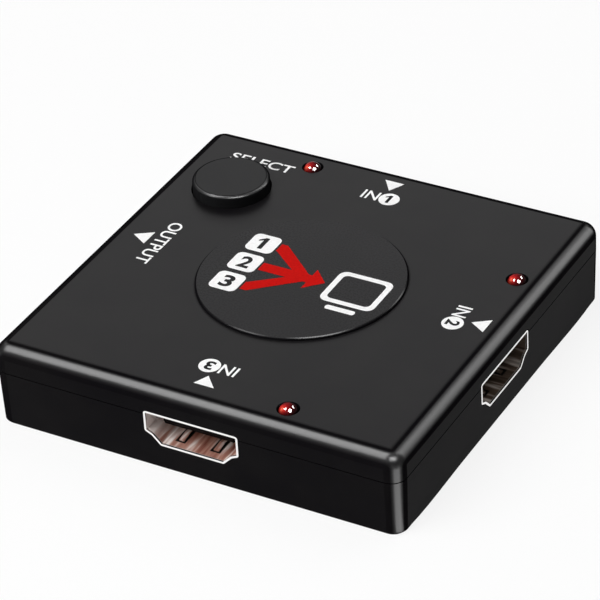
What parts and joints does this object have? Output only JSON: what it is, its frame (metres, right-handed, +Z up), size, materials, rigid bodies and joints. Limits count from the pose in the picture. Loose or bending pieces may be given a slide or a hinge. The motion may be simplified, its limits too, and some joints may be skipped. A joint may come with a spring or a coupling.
{
  "type": "video switch box",
  "caption": "Flat square video switch box with a socket in the middle of each side, a sprung select button, indicator lamps and a raised round plate on top.",
  "frame": {"origin": "middle of the underside, where the box stands on a table", "axes": "+Z up; -Y is the front face with the socket of input 3, +X the side of input 2, +Y the side of input 1 and -X the output side"},
  "size_m": [0.063, 0.063, 0.0146],
  "materials": {
    "black_abs": "satin moulded",
    "badge_plate": "satin printed",
    "button_abs": "satin moulded",
    "switch_nylon": "matt moulded",
    "tinned_steel": "tin plated",
    "spring_steel": "bare spring sheet",
    "tinned_lead": "tin plated",
    "board_laminate": "green solder mask",
    "black_screw_steel": "black zinc",
    "chip_epoxy": "moulded epoxy",
    "capacitor_ceramic": "fired ceramic",
    "resistor_ceramic": "glazed",
    "red_epoxy": "clear red",
    "nickel_shell": "bright nickel plated",
    "socket_moulding": "moulded",
    "contact_gold": "gold plated"
  },
  "bodies": {
    "housing": {"top_cover": "black_abs", "bottom_cover": "black_abs", "badge_disc": "badge_plate", "switch_base": "switch_nylon", "switch_frame": "tinned_steel", "switch_dome": "spring_steel", "switch_terminals": "tinned_lead", "circuit_board": "board_laminate", "cover_screws": "black_screw_steel", "selector_chip": "chip_epoxy", "selector_chip_pins": "tinned_lead", "control_chip": "chip_epoxy", "control_chip_pins": "tinned_lead", "voltage_regulator": "chip_epoxy", "regulator_tabs": "tinned_lead", "chip_capacitors": "capacitor_ceramic", "chip_resistors": "resistor_ceramic", "lamp_1_lens": "red_epoxy", "lamp_1_leads": "tinned_lead", "lamp_2_lens": "red_epoxy", "lamp_2_leads": "tinned_lead", "lamp_3_lens": "red_epoxy", "lamp_3_leads": "tinned_lead", "input_1_socket_shell": "nickel_shell", "input_1_socket_insulator": "socket_moulding", "input_1_socket_contacts": "contact_gold", "input_2_socket_shell": "nickel_shell", "input_2_socket_insulator": "socket_moulding", "input_2_socket_contacts": "contact_gold", "input_3_socket_shell": "nickel_shell", "input_3_socket_insulator": "socket_moulding", "input_3_socket_contacts": "contact_gold", "output_socket_shell": "nickel_shell", "output_socket_insulator": "socket_moulding", "output_socket_contacts": "contact_gold"},
    "button": {"select_button": "button_abs", "switch_plunger": "switch_nylon"}
  },
  "joints": [
    {"name": "select_press", "type": "slide", "parent": "housing", "child": "button", "axis": [0, 0, -1], "range_m": [0, 0.0003], "stiffness_N_per_m": 5000, "springref_m": -0.00005, "deforming": ["switch_dome"]}
  ]
}
